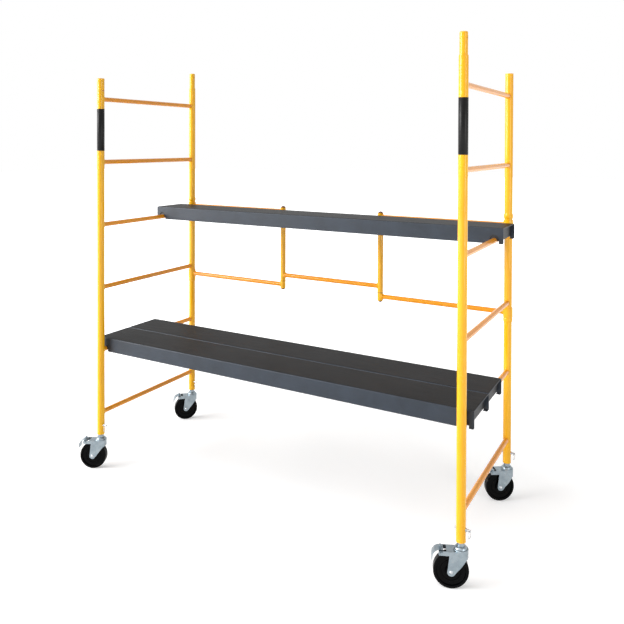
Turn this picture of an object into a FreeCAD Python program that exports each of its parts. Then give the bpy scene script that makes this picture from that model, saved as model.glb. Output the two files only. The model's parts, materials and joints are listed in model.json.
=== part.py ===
"""Frame scaffold section: two ladder end frames joined by a folding rear gate, with three
planks hung on the rungs and four lockable swivel casters plugged into the post feet.

Millimetres, +Z up. X runs along the section from the left frame to the right frame, Y runs
from the front to the rear, where the gate is. The origin is the bottom centre of the whole
section, on the ground.
"""
import FreeCAD, Part
import math
import os

V = FreeCAD.Vector
UP = V(0, 0, 1)

# --- end frames -------------------------------------------------------------------------
frame_length = 1792.0       # between the post axes of the two end frames
frame_depth = 686.0         # between the front and rear post axes of one end frame
post_od = 35.0
post_wall = 2.2
rung_od = 22.2
rung_wall = 1.6
rung_pitch = 304.8
rung_count = 6
post_below_rungs = 105.0    # bottom rung axis to the post's lower end
post_above_rungs = 100.0    # top rung axis to the post's upper end
weld_gap = 0.1              # root gap between a coped tube end and the tube it meets

# --- stacking spigots -------------------------------------------------------------------
spigot_proud = 85.5         # what stands above the post
spigot_rim = 3.0            # height of the collar that rests on the post's rim
spigot_rim_inset = 0.6      # post's outside to the collar's
spigot_inside = 70.0
spigot_wall = 2.5
spigot_clearance = 0.2
spigot_chamfer = 3.0
stack_hole_below_tip = 21.5
stack_hole_below_post_top = 59.0
stack_hole_r = 4.4

# --- casters ----------------------------------------------------------------------------
wheel_r = 63.5
wheel_width = 31.0
wheel_edge_r = 4.0
wheel_recess = 4.0
wheel_rim = 11.0            # radial depth of the tread ring beside the recess
wheel_clearance = 3.0       # top of the tread to the level of the crown's underside
hub_r = 20.0
hub_width = 38.0
swivel_head_height = 32.0   # top of the crown's floor to the post's lower end
swivel_dome_height = 9.5
swivel_flange = 2.0         # thickness of the dome's edge
swivel_neck_r = 13.5
swivel_shoulder = 4.0       # height of the shoulder that carries the post
caster_trail = 35.0         # swivel axis to wheel axis
bush_wall = 2.0
axle_r = 4.0
axle_head_r = 6.5
axle_head_height = 4.0
axle_nut_r = 7.5            # across the corners
axle_nut_height = 5.0
axle_clearance = 0.08
fork_sheet = 3.0
hub_clearance = 1.5         # each end of the hub to the fork leg beside it
fork_boss_r = 14.0
fork_arm_reach = 80.0       # swivel axis to the tip of the brake arms
fork_arm_depth = 14.5
fork_arm_drop = 5.0         # crown's rim to the top of the arms
fork_skirt = 29.0           # crown's rim to the skirt's lower edge at the front
fork_knee_x = 15.0          # where the leg's front edge turns down to the boss
fork_knee_drop = 36.0       # crown's rim to that turn
fork_lean = 7.0             # how far the leg's rear edge leans in from the boss to the arm
fork_web_back = 52.0        # swivel axis to the end of the web between the arms
crown_rim = 8.0             # crown's rim above its floor
crown_margin = 3.5          # crown's edge beyond the outside of the fork legs
rim_gap = 1.0               # crown's rim to the swivel dome inside it
kingpin_r = 7.0
kingpin_clearance = 0.1
ball_r = 2.6
ball_edge_gap = 8.5         # crown's edge to the ball circle
ball_count = 14
running_gap = 0.3
stem_clearance = 0.3
stem_length = 85.0
stem_shoulder_step = 0.2    # shoulder that carries the post, beyond the post's bore
brake_pin_r = 3.0
brake_pin_inset = 10.0      # tip of the arms to the brake pin
brake_pin_head_r = 5.5
brake_pin_head = 3.0
brake_side_gap = 3.5        # brake pedal to the fork leg on each side
brake_sheet = 2.5
brake_screw_r = 3.0
brake_shoe_gap = 5.0
headings = {"left_front": 26.0, "left_rear": 46.0, "right_front": 23.0, "right_rear": 34.0}

# --- lock pins --------------------------------------------------------------------------
lock_pin_r = 4.0
lock_pin_clearance = 0.25
lock_pin_height = 45.0      # above the post's lower end
lock_pin_tip = 5.0          # beyond the post on the left
lock_pin_tail = 18.0        # beyond the post on the right, where it is pulled out
lock_pin_collar_r = 6.5
lock_pin_collar = 3.5
keeper_wire_r = 1.1
keeper_ring_r = 14.0

# --- folding rear gate ------------------------------------------------------------------
gate_middle_width = 560.0   # between the two hinge axes
gate_tube_od = 28.0
gate_tube_wall = 2.0
gate_sleeve_height = 38.0
gate_washer = 1.6
gate_lower_rung = 2         # the rungs that the gate's rails are measured from
gate_upper_rung = 3
gate_lower_offset = -44.0   # side rails from those rungs
gate_upper_offset = 40.0
gate_rail_step = 50.0       # side rail to middle rail, which lets the panels fold flat
collar_clearance = 0.3
collar_wall = 3.2
collar_height = 42.0
hinge_pin_clearance = 0.15
hinge_pin_inside = 40.0
hinge_cap_height = 9.0
stop_bead_height = 22.0
stop_bead_proud = 3.0
stop_bead_gap = 6.0

# --- planks -----------------------------------------------------------------------------
plank_overhang = 38.0       # plank end beyond the rung's axis
plank_width = 196.0
plank_height = 66.0
plank_sheet = 2.0
plank_lip = 9.0
plank_corner_r = 3.0
plank_foot_r = 6.0
plank_above_rung = 53.0     # deck surface above the rung's axis
mat_thickness = 0.8
mat_inset = 2.5
notch_clearance = 7.9       # rung to the notch's sides
notch_headroom = 13.9       # rung to the notch's top
saddle_width = 44.0
saddle_clearance = 0.3
saddle_below_rung = 2.0
front_plank_gap = 9.0       # post to the front plank's edge
plank_gap = 3.0
upper_plank_gap = 34.0      # rear post to the upper plank's edge
lower_plank_rung = 1
upper_plank_rung = 3

# --- worked out from the values above ---------------------------------------------------
post_r = post_od / 2
post_bore_r = post_r - post_wall
rung_r = rung_od / 2
notch_r = rung_r + notch_clearance
notch_top_above_rung = rung_r + notch_headroom
fork_gap = hub_width + 2 * hub_clearance
fork_half = fork_gap / 2 + fork_sheet
brake_width = fork_gap - 2 * brake_side_gap
crown_r = fork_half + crown_margin
ball_circle_r = crown_r - ball_edge_gap
crown_z = 2 * wheel_r + wheel_clearance + fork_sheet
rim_z = crown_z + crown_rim
arm_z = rim_z - fork_arm_drop
arm_low_z = arm_z - fork_arm_depth
brake_pin_x = -fork_arm_reach + brake_pin_inset
brake_pin_z = arm_z - fork_arm_depth / 2
caster_height = crown_z + swivel_head_height
stem_shoulder_r = post_bore_r + stem_shoulder_step
first_rung_z = caster_height + post_below_rungs
top_rung_z = first_rung_z + rung_pitch * (rung_count - 1)
post_top_z = top_rung_z + post_above_rungs
gate_tube_r = gate_tube_od / 2
collar_r = post_r + collar_clearance + collar_wall
bush_r = axle_r + axle_clearance + bush_wall

POSTS = {
    "left_front": (-frame_length / 2, -frame_depth / 2),
    "left_rear": (-frame_length / 2, frame_depth / 2),
    "right_front": (frame_length / 2, -frame_depth / 2),
    "right_rear": (frame_length / 2, frame_depth / 2),
}
SPIGOTS = ("left_rear", "right_front")


def rung_z(index):
    """Height of a rung's axis, counting from 0 at the bottom."""
    return first_rung_z + rung_pitch * index


# --- shapes -----------------------------------------------------------------------------
def rod(start, end, radius):
    """Solid cylinder between two points."""
    axis = end.sub(start)
    return Part.makeCylinder(radius, axis.Length, start, axis)


def tube(start, end, outer, inner):
    """Round tube between two points."""
    return rod(start, end, outer).cut(rod(start, end, inner))


def block(low, high):
    """Box between two opposite corners."""
    size = V(*high).sub(V(*low))
    return Part.makeBox(size.x, size.y, size.z, V(*low))


def prism(points, depth):
    """Straight extrusion of a closed outline."""
    wire = Part.makePolygon([V(*p) for p in points] + [V(*points[0])])
    return Part.Face(wire).extrude(depth)


def revolve_z(profile):
    """Turned solid about Z from (radius, height) points."""
    wire = Part.makePolygon([V(r, 0, z) for r, z in profile] + [V(profile[0][0], 0, profile[0][1])])
    return Part.Face(wire).revolve(V(0, 0, 0), UP, 360)


def edges_where(shape, test):
    """Edges of a shape whose middle point and direction pass a test."""
    chosen = []
    for edge in shape.Edges:
        if len(edge.Vertexes) != 2:
            continue
        start, end = edge.Vertexes[0].Point, edge.Vertexes[1].Point
        if test(start.add(end).multiply(0.5), end.sub(start)):
            chosen.append(edge)
    return chosen


# --- end frames -------------------------------------------------------------------------
def post(name):
    """One upright tube, drilled for the caster's lock pin and, if it is open at the top,
    for the pin that locks the next frame's spigot."""
    x, y = POSTS[name]
    body = tube(V(x, y, caster_height), V(x, y, post_top_z), post_r, post_bore_r)
    body = body.cut(cross_hole(x, y, caster_height + lock_pin_height, lock_pin_r + lock_pin_clearance))
    if name in SPIGOTS:
        return body
    return body.cut(cross_hole(x, y, post_top_z - stack_hole_below_post_top, stack_hole_r))


def cross_hole(x, y, z, radius):
    """Drill along X right through a tube that stands at x, y."""
    return rod(V(x - post_od, y, z), V(x + post_od, y, z), radius)


def rungs(side):
    """The ladder rungs of one end frame, coped to its two posts."""
    x = POSTS[side + "_front"][0]
    low, high = -frame_depth / 2, frame_depth / 2
    pieces = []
    for index in range(rung_count):
        z = rung_z(index)
        rung = tube(V(x, low, z), V(x, high, z), rung_r, rung_r - rung_wall)
        for y in (low, high):
            rung = rung.cut(rod(V(x, y, z - post_od), V(x, y, z + post_od), post_r + weld_gap))
        pieces.append(rung)
    return Part.makeCompound(pieces)


def spigot(name):
    """Stacking spigot: a smaller tube held in the post's top, with a collar that rests on the
    post's rim and a chamfered tip."""
    x, y = POSTS[name]
    radius = post_bore_r - spigot_clearance
    inner = radius - spigot_wall
    tip = post_top_z + spigot_proud
    low = post_top_z - spigot_inside
    rim_r = post_r - spigot_rim_inset
    rim_top = post_top_z + spigot_rim
    profile = [(inner, low), (radius, low), (radius, post_top_z), (rim_r, post_top_z),
               (rim_r, rim_top), (radius, rim_top), (radius, tip - spigot_chamfer),
               (radius - spigot_chamfer * 0.5, tip), (inner, tip)]
    body = revolve_z(profile).translated(V(x, y, 0))
    return body.cut(cross_hole(x, y, tip - stack_hole_below_tip, stack_hole_r))


# --- casters ----------------------------------------------------------------------------
# Each caster is drawn with its swivel axis on Z and its wheel trailing towards -X, and is
# then turned to its heading and moved under its post.
def caster_head():
    """Plug-in stem, shoulder, neck, swivel dome and kingpin, turned in one piece."""
    race_z = crown_z + 2 * ball_r + running_gap
    dome_r = crown_r - fork_sheet - rim_gap
    edge_z = race_z + swivel_flange
    rise = dome_r - swivel_neck_r
    curve = [(swivel_neck_r + rise * math.cos(math.radians(a)),
              edge_z + swivel_dome_height * math.sin(math.radians(a))) for a in (0, 18, 36, 54, 72, 90)]
    stem_r = post_bore_r - stem_clearance
    head_r = kingpin_r + 3.0
    head_z = crown_z - fork_sheet - running_gap
    profile = [
        (0, head_z - 3.0), (head_r, head_z - 3.0), (head_r, head_z), (kingpin_r, head_z),
        (kingpin_r, race_z), (dome_r, race_z), *curve,
        (swivel_neck_r, caster_height - swivel_shoulder),
        (stem_shoulder_r, caster_height - swivel_shoulder + 1.5), (stem_shoulder_r, caster_height),
        (stem_r, caster_height), (stem_r, caster_height + stem_length - 4.0),
        (stem_r - 4.0, caster_height + stem_length), (0, caster_height + stem_length),
    ]
    return revolve_z(profile)


def caster_balls():
    """Ring of swivel bearing balls hung under the dome."""
    z = crown_z + ball_r + running_gap
    balls = []
    for index in range(ball_count):
        angle = 2 * math.pi * index / ball_count
        place = V(ball_circle_r * math.cos(angle), ball_circle_r * math.sin(angle), z)
        balls.append(Part.makeSphere(ball_r, place))
    return Part.makeCompound(balls)


def fork_front():
    """Side outline of a leg's front edge: down the skirt, then along the tangent to the
    axle boss."""
    x, z = -caster_trail, wheel_r
    knee = (fork_knee_x, rim_z - fork_knee_drop)
    reach = math.hypot(knee[0] - x, knee[1] - z)
    slope = math.atan2(knee[1] - z, knee[0] - x) - math.acos(fork_boss_r / reach)
    tangent = (x + fork_boss_r * math.cos(slope), z + fork_boss_r * math.sin(slope))
    return [(crown_r + 1.0, rim_z - fork_skirt), knee, tangent, (x, z)]


def fork_leg(junction):
    """One flat leg with its brake arm, up to where the round front begins."""
    x, z = -caster_trail, wheel_r
    nose = 3.0
    outline = [(crown_r + 1.0, arm_z)] + fork_front() + [
        (x - fork_boss_r, z), (x - fork_boss_r + fork_lean, arm_low_z),
        (-fork_arm_reach + nose, arm_low_z), (-fork_arm_reach, arm_low_z + nose),
        (-fork_arm_reach, arm_z - nose), (-fork_arm_reach + nose, arm_z)]
    inner = fork_gap / 2
    leg = prism([(px, inner, pz) for px, pz in outline], V(0, fork_sheet, 0))
    leg = leg.common(block((-fork_arm_reach - 1, 0, 0), (-junction + 1.0, crown_r, rim_z)))
    return leg.fuse(rod(V(x, inner, z), V(x, inner + fork_sheet, z), fork_boss_r))


def fork_shell(junction):
    """Round front of the fork, a rim all round the crown with legs curving down from it."""
    inner, edge = crown_r - fork_sheet, 1.5
    ring = revolve_z([(inner, 0), (crown_r, 0), (crown_r, rim_z - edge), (crown_r - edge, rim_z),
                      (inner, rim_z)])
    wide = crown_r + 1.0
    outline = [(wide, rim_z + 1)] + fork_front() + [(-caster_trail, rim_z + 1)]
    front = prism([(px, -wide, pz) for px, pz in outline], V(0, 2 * wide, 0))
    front = front.common(block((-junction, -wide, 0), (wide, wide, rim_z + 1)))
    rim = block((-wide, -wide, crown_z - fork_sheet), (wide, wide, rim_z + 1))
    return ring.common(front.fuse(rim))


def caster_fork():
    """Pressed fork: a cupped crown under the swivel, two legs that wrap round its front, and
    a web between the brake arms."""
    low = crown_z - fork_sheet
    junction = math.sqrt(crown_r ** 2 - fork_half ** 2)
    leg = fork_leg(junction)
    floor = rod(V(0, 0, low), V(0, 0, crown_z), crown_r - fork_sheet / 2)
    web = block((-fork_web_back, -fork_half, arm_z - fork_sheet),
                (-crown_r + fork_sheet, fork_half, arm_z))
    fork = fork_shell(junction).fuse([floor, web, leg, leg.mirror(V(0, 0, 0), V(0, 1, 0))])
    x, z = -caster_trail, wheel_r
    outside = fork_half + 1
    holes = [
        rod(V(0, 0, low - 1), V(0, 0, crown_z + 1), kingpin_r + kingpin_clearance),
        rod(V(x, -outside, z), V(x, outside, z), axle_r + axle_clearance),
        rod(V(brake_pin_x, -outside, brake_pin_z), V(brake_pin_x, outside, brake_pin_z),
            brake_pin_r + axle_clearance),
    ]
    return fork.removeSplitter().cut(holes)


def caster_wheel():
    """Solid moulded wheel: rounded tread, a sunk web with a raised ring, and a longer hub."""
    half, hub_half = wheel_width / 2, hub_width / 2
    rim_in = wheel_r - wheel_rim
    ring_mid = (rim_in + hub_r) / 2
    sunk = half - wheel_recess
    bore = bush_r + 0.05
    side = [
        (wheel_r - wheel_edge_r * 0.3, half - wheel_edge_r * 0.3), (wheel_r - wheel_edge_r, half),
        (rim_in, half), (rim_in - 2.0, sunk), (ring_mid + 3.0, sunk), (ring_mid + 2.0, sunk + 1.5),
        (ring_mid - 2.0, sunk + 1.5), (ring_mid - 3.0, sunk), (hub_r + 2.0, sunk),
        (hub_r, hub_half), (bore, hub_half),
    ]
    profile = [(wheel_r, half - wheel_edge_r)] + side
    mirrored = [(r, -z) for r, z in reversed(profile)]
    return onto_axle(revolve_z(profile + mirrored))


def onto_axle(shape):
    """Lay a shape turned about Z along the wheel's axle."""
    shape = shape.rotated(V(0, 0, 0), V(1, 0, 0), 90)
    return shape.translated(V(-caster_trail, 0, wheel_r))


def caster_bush():
    """Steel bush pressed in the hub; it clears the fork legs at both ends."""
    half = fork_gap / 2 - running_gap
    return onto_axle(tube(V(0, 0, -half), V(0, 0, half), bush_r, axle_r + axle_clearance))


def caster_axle():
    """Axle bolt with a domed head on the near side and its nut on the far side, clamped on
    the outside of the fork."""
    end = -fork_half - axle_nut_height - 2.0
    shank = rod(V(0, 0, end), V(0, 0, fork_half), axle_r)
    head = dome(axle_head_r, axle_head_height, 1).translated(V(0, 0, fork_half))
    nut = hexagon(axle_nut_r, axle_nut_height).translated(V(0, 0, -fork_half - axle_nut_height))
    nut = nut.cut(rod(V(0, 0, end), V(0, 0, -fork_half + 1), axle_r))
    return Part.makeCompound([onto_axle(shank.fuse(head)), onto_axle(nut)])


def hexagon(across_corners_r, height):
    """Hexagonal head or nut blank standing on z = 0."""
    corners = [(across_corners_r * math.cos(math.radians(60 * i)),
                across_corners_r * math.sin(math.radians(60 * i)), 0) for i in range(6)]
    return prism(corners, V(0, 0, height))


def caster_brake():
    """Brake pedal: a sheet on the arms with a toe curled down behind the wheel, side ears on
    the pin, and the screw that sets how near the brake stands to the tread."""
    px, pz = brake_pin_x, brake_pin_z
    half = brake_width / 2
    top_z = arm_z + 1.0
    line = [(px + 7.0, top_z), (px - 12.0, top_z), (px - 22.0, top_z - 6.0),
            (px - 30.0, top_z - 17.0), (px - 32.0, top_z - 36.0)]
    pedal = strip(line, brake_sheet, half)
    for side in (-1, 1):
        y = side * (half - brake_sheet / 2) - brake_sheet / 2
        pedal = pedal.fuse(prism([(px - 10.0, y, top_z), (px + 7.0, y, top_z), (px + 6.0, y, pz - 5.5),
                                  (px - 6.0, y, pz - 5.5)], V(0, brake_sheet, 0)))
    screw_x = px - 3.0
    tread_z = wheel_r + math.sqrt(wheel_r ** 2 - (screw_x + caster_trail) ** 2)
    screw = rod(V(screw_x, 0, tread_z + brake_shoe_gap), V(screw_x, 0, top_z + 13.0), brake_screw_r)
    nut = hexagon(6.5, 5.0).translated(V(screw_x, 0, top_z + brake_sheet))
    inside = fork_half + running_gap
    outside = inside + brake_pin_head
    pin = rod(V(px, -outside, pz), V(px, outside, pz), brake_pin_r)
    heads = [rod(V(px, side * inside, pz), V(px, side * outside, pz), brake_pin_head_r)
             for side in (-1, 1)]
    return pedal.fuse([screw, nut, pin, *heads])


def strip(points, thickness, half_width):
    """Bent sheet: a polyline in the XZ plane given a thickness above it and a width in Y."""
    upper, lower = [], []
    for index, (x, z) in enumerate(points):
        before = points[max(index - 1, 0)]
        after = points[min(index + 1, len(points) - 1)]
        dx, dz = after[0] - before[0], after[1] - before[1]
        length = math.hypot(dx, dz)
        normal = (dz / length, -dx / length)
        lower.append((x, -half_width, z))
        upper.append((x + normal[0] * thickness, -half_width, z + normal[1] * thickness))
    return prism(upper + lower[::-1], V(0, 2 * half_width, 0))


def lock_pin(name):
    """Collared pin through the post and the caster's stem, with a pull ring in its right end."""
    x, y = POSTS[name]
    z = caster_height + lock_pin_height
    collar_x = x + post_r + running_gap
    end_x = x + post_r + lock_pin_tail
    pin = rod(V(x - post_r - lock_pin_tip, y, z), V(end_x, y, z), lock_pin_r)
    pin = pin.fuse(rod(V(collar_x, y, z), V(collar_x + lock_pin_collar, y, z), lock_pin_collar_r))
    ring_x = end_x - lock_pin_r
    eye = rod(V(ring_x, y - lock_pin_r, z), V(ring_x, y + lock_pin_r, z), keeper_wire_r + 1.0)
    ring = Part.makeTorus(keeper_ring_r, keeper_wire_r, V(ring_x, y, z - keeper_ring_r), V(1, 0, 0))
    return Part.makeCompound([pin.cut(eye), ring])


def place_caster(shape, name):
    """Turn a caster piece to its heading and put it under its post."""
    x, y = POSTS[name]
    return shape.rotated(V(0, 0, 0), UP, headings[name]).translated(V(x, y, 0))


def caster_head_drilled(name):
    """Head of one caster, with its stem cross-drilled in line with the post."""
    x, y = POSTS[name]
    hole = cross_hole(x, y, caster_height + lock_pin_height, lock_pin_r + lock_pin_clearance)
    return place_caster(caster_head(), name).cut(hole)


# --- folding rear gate ------------------------------------------------------------------
def side_rail_heights():
    """Heights of the side panels' lower and upper rails."""
    return (rung_z(gate_lower_rung) + gate_lower_offset, rung_z(gate_upper_rung) + gate_upper_offset)


def middle_rail_heights():
    """Heights of the middle panel's lower and upper rails, inside the side panels' ones."""
    low, high = side_rail_heights()
    return low + gate_rail_step, high - gate_rail_step


def hinge_x(side):
    return side * gate_middle_width / 2


def gate_y():
    return frame_depth / 2


def side_rails(side):
    """Two rails of a side panel, from the collar on the rear post to the hinge sleeve."""
    post_x, y = side * frame_length / 2, gate_y()
    rails = []
    for z in side_rail_heights():
        rail = tube(V(post_x, y, z), V(hinge_x(side), y, z), rung_r, rung_r - rung_wall)
        for x, radius in ((post_x, collar_r), (hinge_x(side), gate_tube_r)):
            rail = rail.cut(rod(V(x, y, z - post_od), V(x, y, z + post_od), radius + weld_gap))
        rails.append(rail)
    return Part.makeCompound(rails)


def post_collars(side):
    """Two short tubes that turn on the rear post and carry a side panel."""
    x, y = side * frame_length / 2, gate_y()
    half = collar_height / 2
    inner = post_r + collar_clearance
    return Part.makeCompound([tube(V(x, y, z - half), V(x, y, z + half), collar_r, inner)
                              for z in side_rail_heights()])


def hinge_sleeves(side):
    """Two short tubes at a side panel's free edge, below and above the middle upright."""
    x, y = hinge_x(side), gate_y()
    half = gate_sleeve_height / 2
    return Part.makeCompound([tube(V(x, y, z - half), V(x, y, z + half), gate_tube_r,
                                   gate_tube_r - gate_tube_wall) for z in side_rail_heights()])


def upright_ends():
    """Lower and upper ends of the middle panel's uprights, a washer away from the sleeves."""
    low, high = side_rail_heights()
    half = gate_sleeve_height / 2
    return low + half + gate_washer, high - half - gate_washer


def middle_uprights():
    """Two uprights of the middle panel, on the hinge axes."""
    low, high = upright_ends()
    y = gate_y()
    return Part.makeCompound([tube(V(hinge_x(s), y, low), V(hinge_x(s), y, high), gate_tube_r,
                                   gate_tube_r - gate_tube_wall) for s in (-1, 1)])


def middle_rails():
    """Two rails of the middle panel, coped to its uprights."""
    y = gate_y()
    rails = []
    for z in middle_rail_heights():
        rail = tube(V(hinge_x(-1), y, z), V(hinge_x(1), y, z), rung_r, rung_r - rung_wall)
        for side in (-1, 1):
            x = hinge_x(side)
            rail = rail.cut(rod(V(x, y, z - post_od), V(x, y, z + post_od), gate_tube_r + weld_gap))
        rails.append(rail)
    return Part.makeCompound(rails)


def hinge_pins():
    """Four pins, each through a sleeve and into the upright's end, with a domed cap and the
    washer that parts the two tubes."""
    y = gate_y()
    pin_r = gate_tube_r - gate_tube_wall - hinge_pin_clearance
    half = gate_sleeve_height / 2
    pieces = []
    for side in (-1, 1):
        for z, outward in zip(side_rail_heights(), (-1, 1)):
            x = hinge_x(side)
            outer = z + outward * half
            inner = z - outward * (half + hinge_pin_inside)
            pin = rod(V(x, y, inner), V(x, y, outer), pin_r)
            cap = dome(pin_r + 1.0, hinge_cap_height, outward).translated(V(x, y, outer))
            washer_z = z - outward * half
            washer = tube(V(x, y, washer_z), V(x, y, washer_z - outward * gate_washer),
                          gate_tube_r + 0.8, pin_r + hinge_pin_clearance)
            pieces += [pin.fuse(cap), washer]
    return Part.makeCompound(pieces)


def dome(radius, height, outward):
    """Low domed cap standing on z = 0 and pointing up or down."""
    sphere_r = (radius ** 2 + height ** 2) / (2 * height)
    ball = Part.makeSphere(sphere_r, V(0, 0, outward * (height - sphere_r)))
    return ball.common(rod(V(0, 0, 0), V(0, 0, outward * height), radius))


def stop_beads():
    """Rings welded round the rear posts that hold the gate's collars up and down."""
    y = gate_y()
    half = collar_height / 2
    beads = []
    for side in (-1, 1):
        x = side * frame_length / 2
        low, high = side_rail_heights()
        beads.append(bead(x, y, low - half - weld_gap - stop_bead_height))
        beads.append(bead(x, y, high + half + stop_bead_gap))
    return Part.makeCompound(beads)


def bead(x, y, z):
    """One barrel-shaped ring round a post, from z upwards."""
    outer = post_r + stop_bead_proud
    inner = post_r + weld_gap
    edge = post_r + 0.8
    third = stop_bead_height / 3
    profile = [(inner, 0), (edge, 0), (outer, third), (outer, 2 * third),
               (edge, stop_bead_height), (inner, stop_bead_height)]
    return revolve_z(profile).translated(V(x, y, z))


# --- planks -----------------------------------------------------------------------------
def plank_places():
    """Front edge and rung index of each plank."""
    front = -frame_depth / 2 + post_r + front_plank_gap
    upper = frame_depth / 2 - post_r - upper_plank_gap - plank_width
    return {
        "front_plank": (front, lower_plank_rung),
        "middle_plank": (front + plank_width + plank_gap, lower_plank_rung),
        "upper_plank": (upper, upper_plank_rung),
    }


def plank_half_length():
    return frame_length / 2 + plank_overhang


def plank_deck(name):
    """Pressed channel: deck, two flanges with inward lips, and an arched notch over the rung
    near both ends of each flange."""
    y0, rung = plank_places()[name]
    y1 = y0 + plank_width
    half = plank_half_length()
    top = rung_z(rung) + plank_above_rung - mat_thickness
    low = rung_z(rung) + plank_above_rung - plank_height
    outline = [(y0, top), (y1, top), (y1, low), (y1 - plank_lip, low),
               (y1 - plank_lip, low + plank_sheet), (y1 - plank_sheet, low + plank_sheet),
               (y1 - plank_sheet, top - plank_sheet), (y0 + plank_sheet, top - plank_sheet),
               (y0 + plank_sheet, low + plank_sheet), (y0 + plank_lip, low + plank_sheet),
               (y0 + plank_lip, low), (y0, low)]
    body = prism([(-half, y, z) for y, z in outline], V(2 * half, 0, 0))
    corner = edges_where(body, lambda mid, way: abs(way.x) > half and abs(mid.z - top) < 0.01)
    body = body.makeFillet(plank_corner_r, corner)
    for side in (-1, 1):
        x = side * frame_length / 2
        arch_z = rung_z(rung) + notch_top_above_rung - notch_r
        arch = rod(V(x, y0 - 1, arch_z), V(x, y1 + 1, arch_z), notch_r)
        slot = block((x - notch_r, y0 - 1, low - 1), (x + notch_r, y1 + 1, arch_z))
        body = body.cut([arch, slot])
    foot = edges_where(body, lambda mid, way: abs(abs(mid.x) - half) < 0.01 and abs(mid.z - low) < 0.01
                       and abs(way.y) > plank_lip / 2)
    for edge in foot:
        body = body.cut(foot_corner(edge, half, low))
    return body


def foot_corner(edge, half, low):
    """What is cut away to round one outer bottom corner of a plank's foot."""
    y0, y1 = edge.BoundBox.YMin - 1, edge.BoundBox.YMax + 1
    side = 1 if edge.CenterOfMass.x > 0 else -1
    outer = side * half
    inner = outer - side * plank_foot_r
    square = block((min(inner, outer + side), y0, low - 1),
                   (max(inner, outer + side), y1, low + plank_foot_r))
    round_ = rod(V(inner, y0, low + plank_foot_r), V(inner, y1, low + plank_foot_r), plank_foot_r)
    return square.cut(round_)


def plank_mat(name):
    """Anti-slip sheet bonded on the deck, a little inside its edges."""
    y0, rung = plank_places()[name]
    half = plank_half_length() - mat_inset
    top = rung_z(rung) + plank_above_rung
    inset = plank_corner_r + mat_inset
    return block((-half, y0 + inset, top - mat_thickness), (half, y0 + plank_width - inset, top))


def plank_saddles(name):
    """Two moulded blocks under the deck, grooved to sit on the rungs."""
    y0, rung = plank_places()[name]
    z = rung_z(rung)
    top = z + plank_above_rung - mat_thickness - plank_sheet
    low = z - saddle_below_rung
    inside = (y0 + plank_sheet, y0 + plank_width - plank_sheet)
    groove_r = rung_r + saddle_clearance
    blocks = []
    for side in (-1, 1):
        x = side * frame_length / 2
        half = saddle_width / 2
        body = block((x - half, inside[0], low), (x + half, inside[1], top))
        groove = rod(V(x, inside[0] - 1, z), V(x, inside[1] + 1, z), groove_r)
        mouth = block((x - groove_r, inside[0] - 1, low - 1), (x + groove_r, inside[1] + 1, z))
        blocks.append(body.cut([groove, mouth]))
    return Part.makeCompound(blocks)


# --- assembly ---------------------------------------------------------------------------
def caster_nodes(name):
    """All pieces of one caster, in place."""
    turned = {"fork": caster_fork, "wheel": caster_wheel, "bush": caster_bush,
              "axle": caster_axle, "brake": caster_brake, "balls": caster_balls}
    nodes = {f"{name}_caster_{piece}": place_caster(make(), name) for piece, make in turned.items()}
    nodes[f"{name}_caster_head"] = caster_head_drilled(name)
    nodes[f"{name}_lock_pin"] = lock_pin(name)
    return nodes


def build():
    """Every node of the section, standing on the ground with the frame centred on X and Y."""
    nodes = {f"{name}_post": post(name) for name in POSTS}
    nodes |= {f"{name}_spigot": spigot(name) for name in SPIGOTS}
    for side, sign in (("left", -1), ("right", 1)):
        nodes[f"{side}_rungs"] = rungs(side)
        nodes[f"gate_{side}_rails"] = side_rails(sign)
        nodes[f"gate_{side}_collars"] = post_collars(sign)
        nodes[f"gate_{side}_sleeves"] = hinge_sleeves(sign)
    nodes["gate_middle_uprights"] = middle_uprights()
    nodes["gate_middle_rails"] = middle_rails()
    nodes["gate_hinge_pins"] = hinge_pins()
    nodes["gate_stop_beads"] = stop_beads()
    for name in plank_places():
        nodes[f"{name}_deck"] = plank_deck(name)
        nodes[f"{name}_mat"] = plank_mat(name)
        nodes[f"{name}_saddles"] = plank_saddles(name)
    for name in POSTS:
        nodes |= caster_nodes(name)
    return nodes


def bottom_centre(nodes):
    """Bottom centre of the box round all nodes."""
    box = FreeCAD.BoundBox()
    for shape in nodes.values():
        box.add(shape.optimalBoundingBox(False))
    return V(box.Center.x, box.Center.y, box.ZMin)


NODES = build()
ORIGIN = bottom_centre(NODES)

os.makedirs("parts", exist_ok=True)
for node, shape in NODES.items():
    shape.translated(ORIGIN.negative()).exportStep(f"parts/{node}.step")
print(len(NODES), "nodes; frame centre is at", ORIGIN.negative())
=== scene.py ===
"""Looks of the frame scaffold section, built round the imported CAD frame.

Metres, in the frame's own axes: X along the planks, Y to the rear gate, Z up.
"""
import json
import math

import bpy
from mathutils import Matrix, Vector


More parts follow.
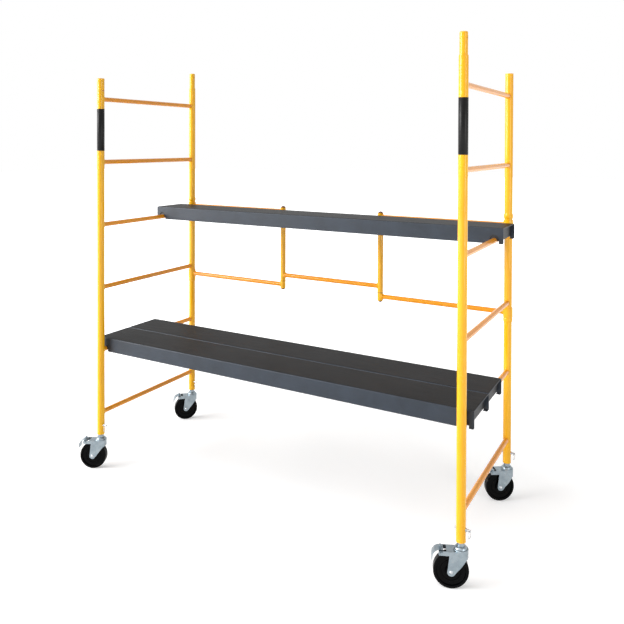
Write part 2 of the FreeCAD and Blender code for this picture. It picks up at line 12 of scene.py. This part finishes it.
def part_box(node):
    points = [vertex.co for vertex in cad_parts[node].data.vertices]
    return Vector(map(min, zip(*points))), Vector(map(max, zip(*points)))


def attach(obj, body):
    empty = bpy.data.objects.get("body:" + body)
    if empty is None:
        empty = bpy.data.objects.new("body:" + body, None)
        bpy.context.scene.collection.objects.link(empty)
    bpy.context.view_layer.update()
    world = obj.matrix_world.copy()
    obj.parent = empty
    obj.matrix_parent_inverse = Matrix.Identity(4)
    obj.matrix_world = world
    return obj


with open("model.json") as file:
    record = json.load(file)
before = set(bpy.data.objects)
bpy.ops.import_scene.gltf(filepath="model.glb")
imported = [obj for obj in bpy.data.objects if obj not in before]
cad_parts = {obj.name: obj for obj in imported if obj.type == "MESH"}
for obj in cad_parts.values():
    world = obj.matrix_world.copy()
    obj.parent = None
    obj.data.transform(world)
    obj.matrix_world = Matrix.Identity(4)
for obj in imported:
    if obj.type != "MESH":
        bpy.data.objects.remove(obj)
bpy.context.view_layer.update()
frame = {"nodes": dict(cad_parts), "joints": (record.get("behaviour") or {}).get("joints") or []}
NODES = frame["nodes"]
CORNERS = ("left_front", "left_rear", "right_front", "right_rear")
JOINTS = {j["name"]: j for j in frame["joints"]}


# --- places read from the frame ---------------------------------------------------------
def centre(node):
    low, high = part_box(node)
    return (low + high) / 2


def half_size(node):
    low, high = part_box(node)
    return (high - low) / 2


POST_R = half_size("left_front_post").x
POST_XY = {c: centre(c + "_post").xy for c in CORNERS}
MIDDLE = sum((POST_XY[c] for c in CORNERS), Vector((0, 0))) / len(CORNERS)
RUNG_R = half_size("left_rungs").x
RUNG_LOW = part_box("left_rungs")[0].z + RUNG_R
RUNG_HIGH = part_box("left_rungs")[1].z - RUNG_R
RUNG_COUNT = 6
RUNG_PITCH = (RUNG_HIGH - RUNG_LOW) / (RUNG_COUNT - 1)

# --- sizes of the pieces made here ------------------------------------------------------
RUNG_WELD = 0.0042
GATE_WELD = 0.0036
BAND_HEIGHTS = (1.544, 1.747)
BAND_LAYER = (0.00003, 0.00030)     # inner and outer face of the band, from the post's face
BAND_BEVEL = 0.00012
LAP_LAYER = (0.00032, 0.00056)      # the same for the strip over its seam
LAP_AT, LAP_ARC = math.radians(75), math.radians(24)
WHEEL_TREAD = (0.0585, 0.0632)      # radii between which the wheel's face becomes its tread
WHEEL_RINGS = 2600.0                # radians of moulded ring per metre of radius

# --- floor and camera -------------------------------------------------------------------
FLOOR_HALF = 30.0
FLOOR_DROP = 0.0005                 # under the wheels
FLOOR_TONE = 0.82
FLOOR_LIFT = 0.36                   # glow near the object, so that its shadow stays soft
FLOOR_FADE = 0.7                    # more glow far from it, so that the floor ends in white
FADE_SCALE = 0.1                    # of the metres in FADE_RADII
FADE_RADII = (0.12, 0.40)
CAMERA_YAW, CAMERA_DIP, CAMERA_ROLL = (math.radians(a) for a in (-29.43, 0.705, 0.178))
CAMERA_FROM_MIDDLE = Vector((1.59989, -2.68086))
CAMERA_HEIGHT = 1.58134
CAMERA_LENS = 38.78                 # mm on a 36 mm sensor
CAMERA_SHIFT = -0.2564              # vertical, as a share of the sensor's width


# --- node materials ---------------------------------------------------------------------
def linear(red, green, blue):
    """Scene-linear colour from 0-255 display values."""
    out = []
    for v in (red, green, blue):
        v /= 255
        out.append(v / 12.92 if v <= 0.04045 else ((v + 0.055) / 1.055) ** 2.4)
    return (*out, 1.0)


class Shader:
    """A procedural material on one Principled shader. Texture scales are repeats per metre."""

    def __init__(self, name):
        self.material = bpy.data.materials.new(name)
        self.material.use_nodes = True
        self.tree = self.material.node_tree
        self.tree.nodes.clear()
        self.out = self.add("ShaderNodeOutputMaterial")
        self.bsdf = self.add("ShaderNodeBsdfPrincipled")
        self.link(self.bsdf.outputs[0], self.out.inputs["Surface"])
        self.place = self.add("ShaderNodeTexCoord").outputs["Object"]

    def add(self, kind, **props):
        node = self.tree.nodes.new(kind)
        for key, value in props.items():
            setattr(node, key, value)
        return node

    def link(self, source, target):
        self.tree.links.new(source, target)

    def set(self, **values):
        for key, value in values.items():
            self.bsdf.inputs[key.replace("_", " ")].default_value = value
        return self

    def mapped(self, scale=(1, 1, 1), turn=(0, 0, 0), shift=(0, 0, 0)):
        node = self.add("ShaderNodeMapping", vector_type="POINT")
        node.inputs["Scale"].default_value = scale
        node.inputs["Rotation"].default_value = turn
        node.inputs["Location"].default_value = shift
        self.link(self.place, node.inputs["Vector"])
        return node.outputs[0]

    def noise(self, scale, detail=2.0, rough=0.5, place=None):
        node = self.add("ShaderNodeTexNoise")
        node.inputs["Scale"].default_value = scale
        node.inputs["Detail"].default_value = detail
        node.inputs["Roughness"].default_value = rough
        self.link(place or self.place, node.inputs["Vector"])
        return node.outputs[0]

    def cells(self, scale, place=None):
        node = self.add("ShaderNodeTexVoronoi")
        node.inputs["Scale"].default_value = scale
        self.link(place or self.place, node.inputs["Vector"])
        return node.outputs["Distance"]

    def ramp(self, source, stops, smooth=False):
        node = self.add("ShaderNodeValToRGB")
        ramp = node.color_ramp
        ramp.interpolation = "EASE" if smooth else "LINEAR"
        while len(ramp.elements) < len(stops):
            ramp.elements.new(0.5)
        for element, (position, value) in zip(ramp.elements, stops):
            element.position = position
            element.color = value if isinstance(value, tuple) else (value, value, value, 1)
        self.link(source, node.inputs[0])
        return node.outputs[0]

    def math(self, operation, a, b=None):
        node = self.add("ShaderNodeMath", operation=operation)
        for index, value in enumerate((a, b)):
            if value is None:
                continue
            if isinstance(value, (int, float)):
                node.inputs[index].default_value = value
            else:
                self.link(value, node.inputs[index])
        return node.outputs[0]

    def mix(self, factor, a, b):
        node = self.add("ShaderNodeMix", data_type="RGBA")
        for index, value in ((0, factor), (6, a), (7, b)):
            socket = node.inputs[index]
            if isinstance(value, (int, float, tuple)):
                socket.default_value = value
            else:
                self.link(value, socket)
        return node.outputs[2]

    def split(self, source):
        node = self.add("ShaderNodeSeparateXYZ")
        self.link(source, node.inputs[0])
        return node.outputs

    def colour(self, source):
        self.link(source, self.bsdf.inputs["Base Color"])

    def rough(self, source):
        self.link(source, self.bsdf.inputs["Roughness"])

    def bump(self, *layers):
        """Chain of bumps, each (height, strength, depth in metres)."""
        last = None
        for height, strength, depth in layers:
            node = self.add("ShaderNodeBump")
            node.inputs["Strength"].default_value = strength
            node.inputs["Distance"].default_value = depth
            self.link(height, node.inputs["Height"])
            if last is not None:
                self.link(last, node.inputs["Normal"])
            last = node.outputs[0]
        self.link(last, self.bsdf.inputs["Normal"])


def powder_coat(name, main, deep, chips):
    """Gloss powder coat on steel: orange peel, a cloudy tone, fine rubs and small chips."""
    s = Shader(name).set(Specular_IOR_Level=0.25, Coat_Weight=0.35, Coat_Roughness=0.06)
    cloud = s.ramp(s.noise(4.0, 2.0), [(0.3, 0.0), (0.75, 1.0)])
    tone = s.mix(cloud, main, deep)
    speck = s.ramp(s.noise(420.0, 3.0, 0.7), [(0.68, 0.0), (0.74, 1.0)])
    tone = s.mix(s.math("MULTIPLY", speck, 0.25), tone, chips)
    rub_place = s.mapped((260.0, 260.0, 18.0))
    rub = s.ramp(s.noise(1.0, 4.0, 0.6, place=rub_place), [(0.64, 0.0), (0.72, 1.0)])
    patch = s.ramp(s.noise(5.0, 2.0), [(0.55, 0.0), (0.68, 1.0)])
    wear = s.math("MULTIPLY", rub, patch)
    s.colour(s.mix(s.math("MULTIPLY", wear, 0.35), tone, chips))
    s.rough(s.math("ADD", s.math("MULTIPLY", wear, 0.25),
                   s.ramp(s.noise(60.0, 3.0), [(0.3, 0.20), (0.7, 0.28)])))
    peel = s.noise(700.0, 1.0)
    s.bump((peel, 0.07, 0.0004), (s.noise(35.0, 2.0), 0.03, 0.0012), (wear, 0.12, 0.0002))
    return s.material


def plank_paint():
    """Satin blue-black paint on pressed steel, with a faint drawn grain and light scuffs."""
    s = Shader("plank_paint").set(Specular_IOR_Level=0.42)
    grain = s.noise(1.0, 4.0, 0.6, place=s.mapped((30.0, 900.0, 900.0)))
    cloud = s.noise(11.0, 4.0, 0.55)
    tone = s.mix(s.ramp(cloud, [(0.3, 0.0), (0.7, 1.0)]),
                 linear(29, 37, 47), linear(39, 48, 60))
    scuff = s.ramp(s.noise(1.0, 5.0, 0.7, place=s.mapped((45.0, 60.0, 420.0))),
                   [(0.64, 0.0), (0.74, 1.0)])
    tone = s.mix(s.math("MULTIPLY", scuff, 0.30), tone, linear(104, 112, 120))
    s.colour(tone)
    s.rough(s.ramp(grain, [(0.3, 0.38), (0.7, 0.52)]))
    s.bump((grain, 0.18, 0.0004), (s.noise(850.0, 2.0), 0.16, 0.0004), (cloud, 0.12, 0.002))
    return s.material


def deck_mat():
    """Black anti-slip sheet: fine grit over a faint lengthwise grain, paler where walked on, with
    pale specks painted on the grit as its glints.
    """
    s = Shader("deck_mat").set(Specular_IOR_Level=0.08)
    grain = s.noise(1.0, 5.0, 0.65, place=s.mapped((9.0, 260.0, 260.0)))
    grit = s.noise(1100.0, 2.0, 0.6)
    walked = s.ramp(s.noise(3.2, 4.0, 0.6), [(0.35, 0.0), (0.72, 1.0)])
    tone = s.mix(s.ramp(grain, [(0.3, 0.0), (0.7, 1.0)]), linear(12, 12, 13), linear(27, 27, 28))
    tone = s.mix(s.math("MULTIPLY", walked, 0.5), tone, linear(40, 40, 41))
    # Pale specks on the grit: painted glints, a highlight painted into the colour.
    painted_grit_glint = s.ramp(grit, [(0.66, 0.0), (0.74, 1.0)])
    s.colour(s.mix(s.math("MULTIPLY", painted_grit_glint, 0.35), tone, linear(110, 112, 116)))
    s.rough(s.ramp(grain, [(0.25, 0.40), (0.75, 0.56)]))
    s.bump((grit, 0.30, 0.0005), (grain, 0.22, 0.0006))
    return s.material


def moulded_saddle():
    """Black moulded plastic with fine spark-eroded texture and paler rubbed spots."""
    s = Shader("moulded_saddle").set(Specular_IOR_Level=0.4)
    cloud = s.ramp(s.noise(25.0, 3.0), [(0.3, 0.0), (0.7, 1.0)])
    rub = s.ramp(s.noise(60.0, 4.0, 0.7), [(0.6, 0.0), (0.75, 1.0)])
    tone = s.mix(cloud, linear(22, 23, 25), linear(32, 33, 36))
    s.colour(s.mix(s.math("MULTIPLY", rub, 0.35), tone, linear(78, 80, 84)))
    s.rough(s.ramp(s.noise(300.0, 2.0), [(0.3, 0.42), (0.7, 0.6)]))
    s.bump((s.noise(1300.0, 2.0), 0.2, 0.0003))
    return s.material


def zinc_plate(name, dark, pale, low_rough, high_rough):
    """Pressed steel with bright zinc: soft cloudy crystals, rolled grain and handling marks."""
    s = Shader(name).set(Metallic=1.0)
    crystal = s.cells(170.0, place=s.mapped((1.0, 1.0, 1.0), (0.4, 0.7, 0.2)))
    cloud = s.noise(30.0, 4.0, 0.6)
    tone = s.mix(s.ramp(cloud, [(0.2, 0.0), (0.8, 1.0)]), dark, pale)
    tone = s.mix(s.math("MULTIPLY", crystal, 0.22), tone, dark)
    grime = s.ramp(s.noise(60.0, 5.0, 0.7), [(0.62, 0.0), (0.78, 1.0)])
    s.colour(s.mix(s.math("MULTIPLY", grime, 0.4), tone, linear(84, 86, 86)))
    s.rough(s.ramp(s.noise(90.0, 4.0, 0.65), [(0.3, low_rough), (0.7, high_rough)]))
    roll = s.noise(1.0, 3.0, place=s.mapped((700.0, 700.0, 60.0)))
    s.bump((roll, 0.10, 0.0003), (cloud, 0.10, 0.0012))
    return s.material


def turned_steel(name, tone, rough):
    """Bright turned or drawn steel."""
    s = Shader(name).set(Metallic=1.0)
    ring = s.noise(1.0, 3.0, place=s.mapped((90.0, 90.0, 2600.0)))
    s.colour(s.mix(s.ramp(s.noise(180.0, 3.0), [(0.3, 0.0), (0.7, 1.0)]), tone,
                   tuple(c * 0.8 for c in tone[:3]) + (1.0,)))
    s.rough(s.ramp(ring, [(0.3, rough), (0.7, rough + 0.14)]))
    s.bump((ring, 0.12, 0.0002))
    return s.material


def wheel_plastic(corner):
    """Gloss moulded plastic with faint rings round the axle and dust on the tread."""
    s = Shader(corner + "_wheel_plastic").set(Specular_IOR_Level=0.07)
    joint = JOINTS[corner + "_roll"]
    axle = Vector(joint["axis"])
    turn = -math.atan2(axle.y, axle.x) + math.pi / 2
    hub = Vector(joint["pos_m"])
    moved = -(Matrix.Rotation(turn, 3, "Z") @ hub)
    local = s.mapped((1, 1, 1), (0, 0, turn), tuple(moved))
    x, _, z = s.split(local)
    radius = s.math("SQRT", s.math("ADD", s.math("MULTIPLY", x, x), s.math("MULTIPLY", z, z)))
    rings = s.math("SINE", s.math("MULTIPLY", radius, WHEEL_RINGS))
    dust = s.ramp(s.noise(45.0, 4.0, 0.7), [(0.5, 0.0), (0.8, 1.0)])
    tread = s.ramp(radius, [(WHEEL_TREAD[0], 0.0), (WHEEL_TREAD[1], 1.0)])
    worn = s.math("MULTIPLY", tread, dust)
    tone = s.mix(s.ramp(s.noise(120.0, 3.0), [(0.3, 0.0), (0.7, 1.0)]),
                 linear(2, 2, 3), linear(5, 5, 6))
    s.colour(s.mix(s.math("MULTIPLY", worn, 0.35), tone, linear(52, 50, 48)))
    s.rough(s.math("ADD", s.math("MULTIPLY", worn, 0.35),
                   s.ramp(s.noise(70.0, 3.0), [(0.3, 0.13), (0.7, 0.22)])))
    s.bump((rings, 0.10, 0.0002), (s.noise(500.0, 2.0), 0.06, 0.0003))
    return s.material


def band_vinyl():
    """Plain black vinyl band with a soft sheen, tiny bubbles and rubbed patches."""
    s = Shader("band_vinyl").set(Specular_IOR_Level=0.2)
    bubble = s.ramp(s.cells(240.0), [(0.0, 1.0), (0.10, 0.0)], True)
    rub = s.ramp(s.noise(70.0, 5.0, 0.7), [(0.55, 0.0), (0.75, 1.0)])
    s.colour(s.mix(s.math("MULTIPLY", rub, 0.5), linear(9, 9, 10), linear(30, 30, 30)))
    s.rough(s.ramp(s.noise(50.0, 3.0), [(0.3, 0.28), (0.7, 0.42)]))
    s.bump((bubble, 0.25, 0.0002), (s.noise(900.0, 1.0), 0.05, 0.0002))
    return s.material


YELLOW = powder_coat("frame_coat", linear(253, 190, 22), linear(250, 178, 14), linear(150, 92, 24))
# Rungs and gate rails get a deeper orange copy of the frame yellow: painted shade for the shade
# they are seen in, not a different paint.
RUNG_SHADE_COAT = powder_coat("rung_coat_painted_shade", linear(244, 160, 24), linear(236, 148, 18), linear(140, 84, 22))
CAP_BROWN = powder_coat("cap_coat", linear(128, 78, 30), linear(104, 62, 26), linear(60, 42, 28))
PLANK = plank_paint()
MAT = deck_mat()
SADDLE = moulded_saddle()
ZINC = zinc_plate("zinc_plate", linear(126, 138, 146), linear(172, 183, 189), 0.24, 0.42)
BRIGHT = turned_steel("bright_steel", linear(200, 203, 207), 0.16)
BALL = turned_steel("ball_steel", linear(214, 216, 220), 0.06)
VINYL = band_vinyl()


# --- materials of the CAD nodes ---------------------------------------------------------
def coat_of(node):
    if node.endswith("_wheel"):
        return wheel_plastic(node.removesuffix("_caster_wheel"))
    if node.endswith("_balls"):
        return BALL
    if node.endswith(("_axle", "_bush", "_lock_pin")):
        return BRIGHT
    if node.endswith(("_fork", "_brake", "_head")):
        return ZINC
    if node.endswith("_deck"):
        return PLANK
    if node.endswith("_mat"):
        return MAT
    if node.endswith("_saddles"):
        return SADDLE
    if node == "gate_hinge_pins":
        return CAP_BROWN
    # Rungs and rails take the painted-shade copy of the frame coat.
    if node.endswith(("_rungs", "_rails")):
        return RUNG_SHADE_COAT
    return YELLOW


for node_name, node_object in NODES.items():
    node_object.data.materials.clear()
    node_object.data.materials.append(coat_of(node_name))


# --- mesh pieces ------------------------------------------------------------------------
def piece(name, vertices, faces, material, body):
    """A mesh in the frame's own coordinates that rides on a body."""
    mesh = bpy.data.meshes.new(name)
    mesh.from_pydata([tuple(v) for v in vertices], [], faces)
    mesh.validate()
    mesh.update()
    for polygon in mesh.polygons:
        polygon.use_smooth = True
    mesh.materials.append(material)
    made = bpy.data.objects.new(name, mesh)
    bpy.context.scene.collection.objects.link(made)
    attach(made, body)


def grid_faces(rows, columns, start, wrap_rows=False):
    """Quads of a grid of points whose columns close on themselves."""
    faces = []
    for r in range(rows if wrap_rows else rows - 1):
        for c in range(columns):
            a = start + r * columns + c
            b = start + r * columns + (c + 1) % columns
            d = start + (r + 1) % rows * columns + c
            e = start + (r + 1) % rows * columns + (c + 1) % columns
            faces.append((a, b, e, d))
    return faces


def weld(vertices, faces, on_axis, way, tube_r, post_r, size, seed):
    """Fillet bead where a tube of tube_r, running along way, meets an upright of post_r."""
    steps, across = 60, 10
    side = Vector((-way.y, way.x, 0))
    up = Vector((0, 0, 1))
    start = len(vertices)
    for i in range(steps):
        t = 2 * math.pi * i / steps
        outward = side * math.cos(t) + up * math.sin(t)
        reach = math.sqrt(max(post_r ** 2 - (tube_r * math.cos(t)) ** 2, 1e-9))
        foot = on_axis + way * reach + outward * tube_r
        ripple = 1 + 0.13 * math.sin(t * 15 + seed) + 0.06 * math.sin(t * 7 + 2.3 * seed)
        for j in range(across):
            a = 2 * math.pi * j / across
            lift = 0.18 * size + 0.5 * size * ripple * math.sin(a)
            run = 0.30 * size + 0.72 * size * ripple * math.cos(a)
            vertices.append(foot + outward * lift + way * run)
    faces.extend(grid_faces(steps, across, start, True))


def frame_welds(side):
    """Beads at both ends of every rung of one end frame."""
    vertices, faces = [], []
    for index in range(RUNG_COUNT):
        z = RUNG_LOW + index * RUNG_PITCH
        for corner, way in (("_front", Vector((0, 1, 0))), ("_rear", Vector((0, -1, 0)))):
            x, y = POST_XY[side + corner]
            weld(vertices, faces, Vector((x, y, z)), way, RUNG_R, POST_R, RUNG_WELD,
                 index * 1.7 + way.y)
    piece(side + "_frame_welds", vertices, faces, YELLOW, "frame")


def gate_welds(side):
    """Beads where a side panel's rails meet its collars and hinge sleeves."""
    vertices, faces = [], []
    rails = f"gate_{side}_rails"
    low, high = (end.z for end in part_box(rails))
    collars, sleeves = f"gate_{side}_collars", f"gate_{side}_sleeves"
    inward = Vector((1, 0, 0)) if side == "left" else Vector((-1, 0, 0))
    for index, z in enumerate((low + RUNG_R, high - RUNG_R)):
        for upright, way in ((collars, inward), (sleeves, -inward)):
            x, y = centre(upright).xy
            weld(vertices, faces, Vector((x, y, z)), way, RUNG_R, half_size(upright).y,
                 GATE_WELD, index * 2.1 + way.x)
    piece(rails.replace("rails", "welds"), vertices, faces, YELLOW, "frame")


def middle_gate_welds():
    """Beads where the middle panel's rails meet its uprights."""
    vertices, faces = [], []
    low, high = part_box("gate_middle_rails")
    left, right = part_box("gate_middle_uprights")
    upright_r = (right.y - left.y) / 2
    y = centre("gate_middle_rails").y
    ends = ((left.x + upright_r, Vector((1, 0, 0))), (right.x - upright_r, Vector((-1, 0, 0))))
    for index, z in enumerate((low.z + RUNG_R, high.z - RUNG_R)):
        for x, way in ends:
            weld(vertices, faces, Vector((x, y, z)), way, RUNG_R, upright_r, GATE_WELD,
                 index * 1.3 + way.x)
    piece("gate_middle_welds", vertices, faces, YELLOW, "frame")


def ring_band(vertices, faces, x, y, low, high, inner, outer, bevel, columns=96):
    """Closed ring about an upright, with bevelled outer edges."""
    start = len(vertices)
    profile = [(inner, low), (outer - bevel, low), (outer, low + bevel), (outer, high - bevel),
               (outer - bevel, high), (inner, high)]
    for r, z in profile:
        for i in range(columns):
            t = 2 * math.pi * i / columns
            vertices.append((x + r * math.cos(t), y + r * math.sin(t), z))
    faces.extend(grid_faces(len(profile), columns, start, True))


def warning_band(corner):
    """Plain band wrapped on a front post, with a lapped strip over its seam."""
    x, y = POST_XY[corner]
    low, high = BAND_HEIGHTS
    vertices, faces = [], []
    inner, outer = (POST_R + face for face in BAND_LAYER)
    ring_band(vertices, faces, x, y, low, high, inner, outer, BAND_BEVEL)
    piece(corner + "_band", vertices, faces, VINYL, "frame")
    steps = 12
    vertices, faces = [], []
    inner, outer = (POST_R + face for face in LAP_LAYER)
    rings = [(inner, low), (outer, low), (outer, high), (inner, high)]
    for r, z in rings:
        for i in range(steps + 1):
            t = LAP_AT + LAP_ARC * (i / steps - 0.5)
            vertices.append((x + r * math.cos(t), y + r * math.sin(t), z))
    for k in range(len(rings)):
        for i in range(steps):
            a, b = k * (steps + 1) + i, (k + 1) % len(rings) * (steps + 1) + i
            faces.append((a, a + 1, b + 1, b))
    faces.append(tuple(k * (steps + 1) for k in range(len(rings)))[::-1])
    faces.append(tuple(k * (steps + 1) + steps for k in range(len(rings))))
    piece(corner + "_band_lap", vertices, faces, VINYL, "frame")


for frame_side in ("left", "right"):
    frame_welds(frame_side)
    gate_welds(frame_side)
    warning_band(frame_side + "_front")
middle_gate_welds()


# --- floor, light and camera ------------------------------------------------------------
def floor():
    """Pale matt floor that takes the object's shadow and fades to white round it."""
    half = FLOOR_HALF
    mesh = bpy.data.meshes.new("floor")
    mesh.from_pydata([(-half, -half, 0), (half, -half, 0), (half, half, 0), (-half, half, 0)],
                     [], [(0, 1, 2, 3)])
    made = bpy.data.objects.new("floor", mesh)
    made.location.z = -FLOOR_DROP
    bpy.context.scene.collection.objects.link(made)
    s = Shader("floor_paint")
    tree = s.tree
    tree.nodes.remove(s.bsdf)
    plain = s.add("ShaderNodeBsdfDiffuse")
    plain.inputs["Color"].default_value = (FLOOR_TONE, FLOOR_TONE, FLOOR_TONE, 1)
    glow = s.add("ShaderNodeEmission")
    glow.inputs["Color"].default_value = (1, 1, 1, 1)
    x, y, _ = s.split(s.mapped((FADE_SCALE, FADE_SCALE, FADE_SCALE)))
    away = s.math("SQRT", s.math("ADD", s.math("MULTIPLY", x, x), s.math("MULTIPLY", y, y)))
    fade = s.ramp(away, [(FADE_RADII[0], 0.0), (FADE_RADII[1], 1.0)])
    lift = s.math("ADD", s.math("MULTIPLY", fade, FLOOR_FADE), FLOOR_LIFT)
    s.link(lift, glow.inputs["Strength"])
    both = s.add("ShaderNodeAddShader")
    s.link(plain.outputs[0], both.inputs[0])
    s.link(glow.outputs[0], both.inputs[1])
    rays = s.add("ShaderNodeLightPath").outputs
    seen = s.math("MAXIMUM", rays["Is Camera Ray"],
                  s.math("MAXIMUM", rays["Is Glossy Ray"], rays["Is Transmission Ray"]))
    choose = s.add("ShaderNodeMixShader")
    s.link(seen, choose.inputs[0])
    s.link(plain.outputs[0], choose.inputs[1])
    s.link(both.outputs[0], choose.inputs[2])
    s.link(choose.outputs[0], s.out.inputs["Surface"])
    mesh.materials.append(s.material)


def backdrop(strength):
    """White for what the camera, gloss and glass see, and plain soft light for the rest."""
    world = bpy.data.worlds.new("studio")
    bpy.context.scene.world = world
    world.use_nodes = True
    tree = world.node_tree
    tree.nodes.clear()
    out = tree.nodes.new("ShaderNodeOutputWorld")
    rays = tree.nodes.new("ShaderNodeLightPath").outputs
    first = tree.nodes.new("ShaderNodeMath")
    second = tree.nodes.new("ShaderNodeMath")
    for node in (first, second):
        node.operation = "MAXIMUM"
    tree.links.new(rays["Is Glossy Ray"], first.inputs[0])
    tree.links.new(rays["Is Transmission Ray"], first.inputs[1])
    tree.links.new(first.outputs[0], second.inputs[0])
    tree.links.new(rays["Is Camera Ray"], second.inputs[1])
    soft = tree.nodes.new("ShaderNodeBackground")
    soft.inputs["Color"].default_value = (1, 1, 1, 1)
    soft.inputs["Strength"].default_value = strength
    white = tree.nodes.new("ShaderNodeBackground")
    white.inputs["Color"].default_value = (1, 1, 1, 1)
    white.inputs["Strength"].default_value = 1.0
    choose = tree.nodes.new("ShaderNodeMixShader")
    tree.links.new(second.outputs[0], choose.inputs[0])
    tree.links.new(soft.outputs[0], choose.inputs[1])
    tree.links.new(white.outputs[0], choose.inputs[2])
    tree.links.new(choose.outputs[0], out.inputs["Surface"])


def aim(made, place, target):
    made.location = place
    made.rotation_euler = (Vector(target) - Vector(place)).to_track_quat("-Z", "Y").to_euler()
    bpy.context.scene.collection.objects.link(made)


def softbox(name, place, target, width, height, power):
    data = bpy.data.lights.new(name, "AREA")
    data.shape = "RECTANGLE"
    data.size, data.size_y = width, height
    data.energy = power
    aim(bpy.data.objects.new(name, data), place, target)


def broad_sun(name, place, strength, spread):
    """Even light over the whole floor, with the soft edge of a wide studio panel."""
    data = bpy.data.lights.new(name, "SUN")
    data.energy = strength
    data.angle = math.radians(spread)
    aim(bpy.data.objects.new(name, data), place, (0, 0, 0))


def camera():
    """Camera aimed from the right front, with a lens shift that keeps the posts upright."""
    level = Vector((math.sin(CAMERA_YAW), math.cos(CAMERA_YAW), 0))
    ahead = level * math.cos(CAMERA_DIP) - Vector((0, 0, math.sin(CAMERA_DIP)))
    right = Vector((math.cos(CAMERA_YAW), -math.sin(CAMERA_YAW), 0))
    up = right.cross(ahead)
    across = right * math.cos(CAMERA_ROLL) + up * math.sin(CAMERA_ROLL)
    upward = up * math.cos(CAMERA_ROLL) - right * math.sin(CAMERA_ROLL)
    stand = MIDDLE + CAMERA_FROM_MIDDLE
    data = bpy.data.cameras.new("camera")
    data.sensor_width = 36.0
    data.lens = CAMERA_LENS
    data.shift_y = CAMERA_SHIFT
    data.clip_end = 100.0
    made = bpy.data.objects.new("camera", data)
    made.matrix_world = Matrix((
        (across.x, upward.x, -ahead.x, stand.x),
        (across.y, upward.y, -ahead.y, stand.y),
        (across.z, upward.z, -ahead.z, CAMERA_HEIGHT),
        (0, 0, 0, 1)))
    bpy.context.scene.collection.objects.link(made)
    bpy.context.scene.camera = made


floor()
backdrop(0.38)
softbox("key", (-8.0, -6.0, 4.2), (0.0, 0.0, 0.9), 7.0, 6.0, 1500.0)
broad_sun("top", (-1.2, -1.6, 4.0), 0.8, 50.0)
softbox("side", (3.6, -1.2, 1.5), (0.6, 0.0, 0.7), 0.8, 2.2, 30.0)
camera()
bpy.context.scene.view_settings.view_transform = "Standard"
